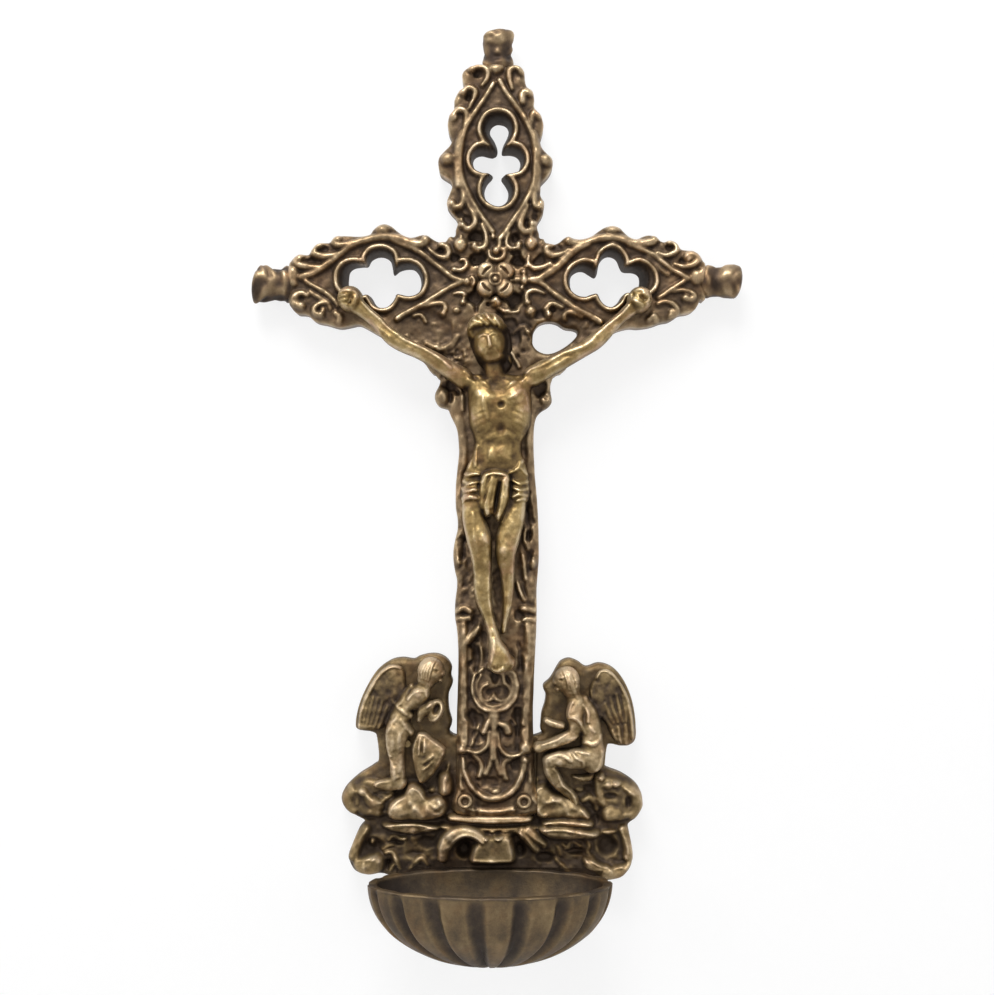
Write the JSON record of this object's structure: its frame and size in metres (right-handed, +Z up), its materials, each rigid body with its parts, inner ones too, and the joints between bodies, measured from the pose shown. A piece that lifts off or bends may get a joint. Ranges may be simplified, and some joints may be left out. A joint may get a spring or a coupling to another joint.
{
  "type": "holy water stoup",
  "caption": "Wall-hung openwork cross with a corpus, kneeling and seated angels on clouds at its foot, and an oval fluted bowl in front.",
  "frame": {"origin": "middle of the back pad at the crossing, where the cross bears on the wall", "axes": "+Z up along the stem, +Y into the wall, the front faces -Y, +X to a viewer's right"},
  "size_m": [0.1426, 0.0414, 0.2676],
  "materials": {
    "cast_brass": "patinated casting, worn bright on its edges",
    "worn_brass": "casting worn bright",
    "brown_brass": "dull brown patina",
    "fasteners": "turned and drawn"
  },
  "bodies": {
    "stoup": {"cross_plate": "cast_brass", "rosette": "cast_brass", "finial_top": "cast_brass", "finial_left": "cast_brass", "finial_right": "cast_brass", "corpus": "worn_brass", "hand_pin_left": "worn_brass", "hand_pin_right": "worn_brass", "feet_pin": "worn_brass", "base_plate": "cast_brass", "angel_left": "cast_brass", "angel_right": "cast_brass", "angel_rivets": "fasteners", "stem_rivets": "fasteners", "bowl": "brown_brass", "bowl_studs": "fasteners", "bowl_washers": "fasteners", "bowl_nuts": "fasteners", "hanger_staple": "fasteners"},
    "ring": {"hanging_ring": "fasteners"}
  },
  "joints": [
    {"name": "ring_swing", "type": "hinge", "parent": "stoup", "child": "ring", "pos_m": [0, -0.0029, 0.0577], "axis": [1, 0, 0], "range_deg": [0, 100]}
  ]
}
